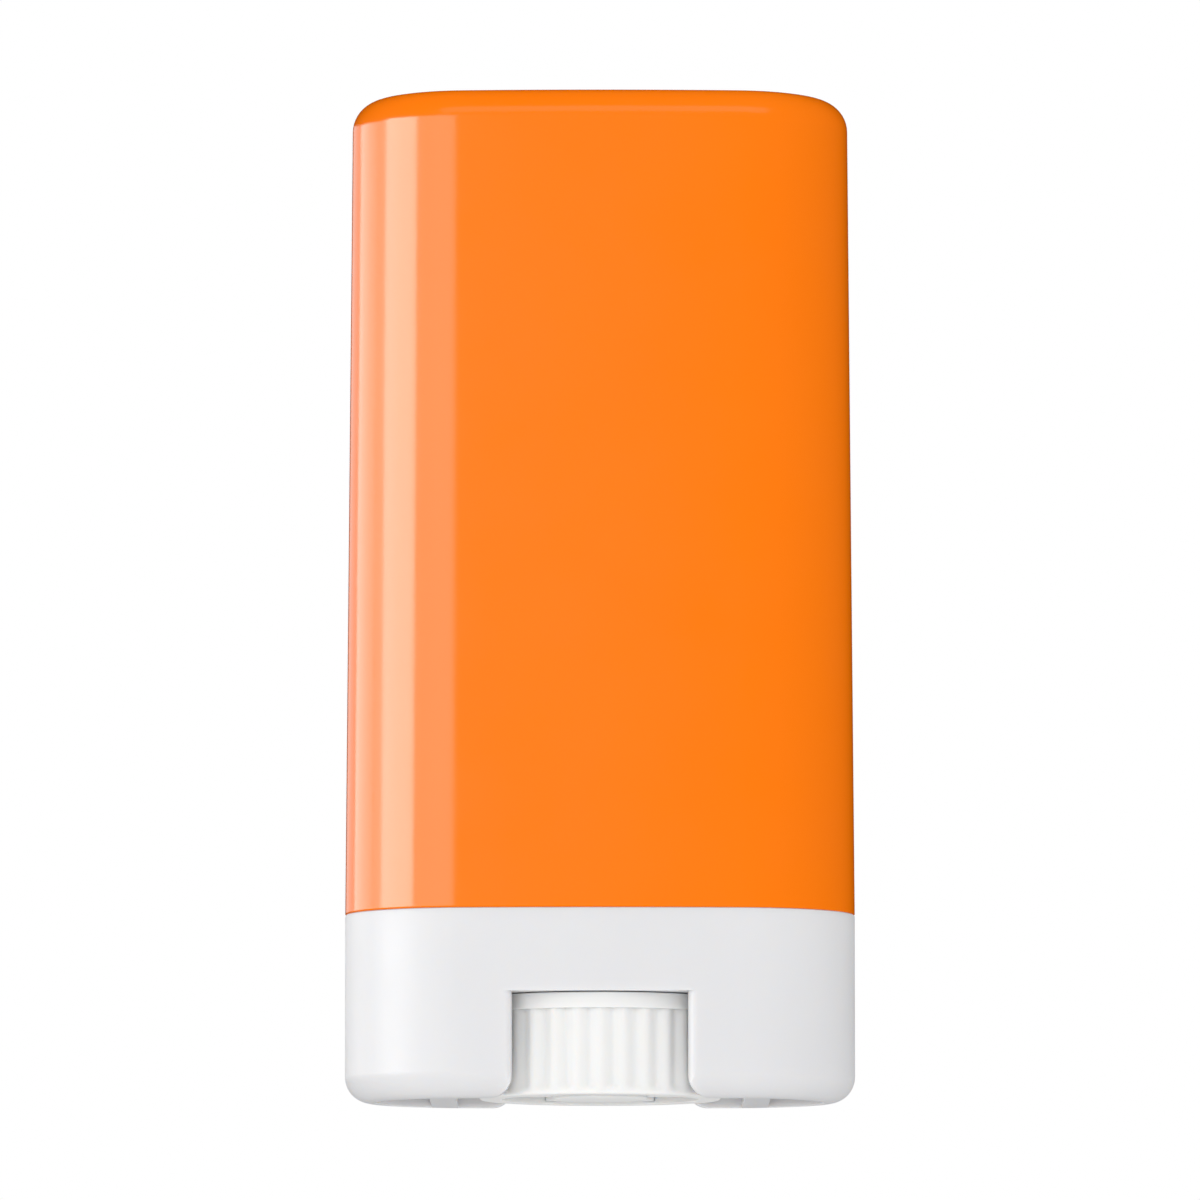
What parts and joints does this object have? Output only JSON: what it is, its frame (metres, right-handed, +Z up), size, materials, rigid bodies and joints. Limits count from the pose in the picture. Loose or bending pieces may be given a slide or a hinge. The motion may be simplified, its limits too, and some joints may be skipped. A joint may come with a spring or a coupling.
{
  "type": "twist-up sunscreen stick",
  "caption": "Oval twist-up sunscreen stick: pull-off cap, white barrel on two feet, ribbed thumb dial and screw-lifted carrier with the domed stick.",
  "frame": {"origin": "centre of the box round the pack, on the ground under its two feet", "axes": "+Z up along the pack from the feet to the cap, +X across the two feet, -Y out of the front face with its window"},
  "size_m": [0.0314, 0.016, 0.0623],
  "materials": {
    "barrel_white": "moulded polypropylene, satin",
    "cap_orange": "moulded polypropylene, high gloss",
    "dial_white": "moulded polypropylene, satin",
    "carrier_white": "moulded polypropylene, satin",
    "stick_cream": "smooth waxy balm"
  },
  "bodies": {
    "base": {"barrel": "barrel_white"},
    "dial": {"dial": "dial_white"},
    "lift": {"carrier": "carrier_white", "stick": "stick_cream"},
    "cap": {"cap": "cap_orange"}
  },
  "joints": [
    {"name": "dial_spin", "type": "hinge", "parent": "base", "child": "dial", "pos_m": [0, 0, 0.003], "axis": [0, 0, 1], "range_deg": [0, 2880]},
    {"name": "stick_lift", "type": "slide", "parent": "base", "child": "lift", "axis": [0, 0, 1], "range_m": [0, 0.038]},
    {"name": "cap_pull", "type": "slide", "parent": "lift", "child": "cap", "axis": [0, 0, 1], "range_m": [0, 0.06]}
  ],
  "couplings": [
    {"joint": "dial_spin", "follows": "stick_lift", "rad_per_m": 1322.8}
  ]
}
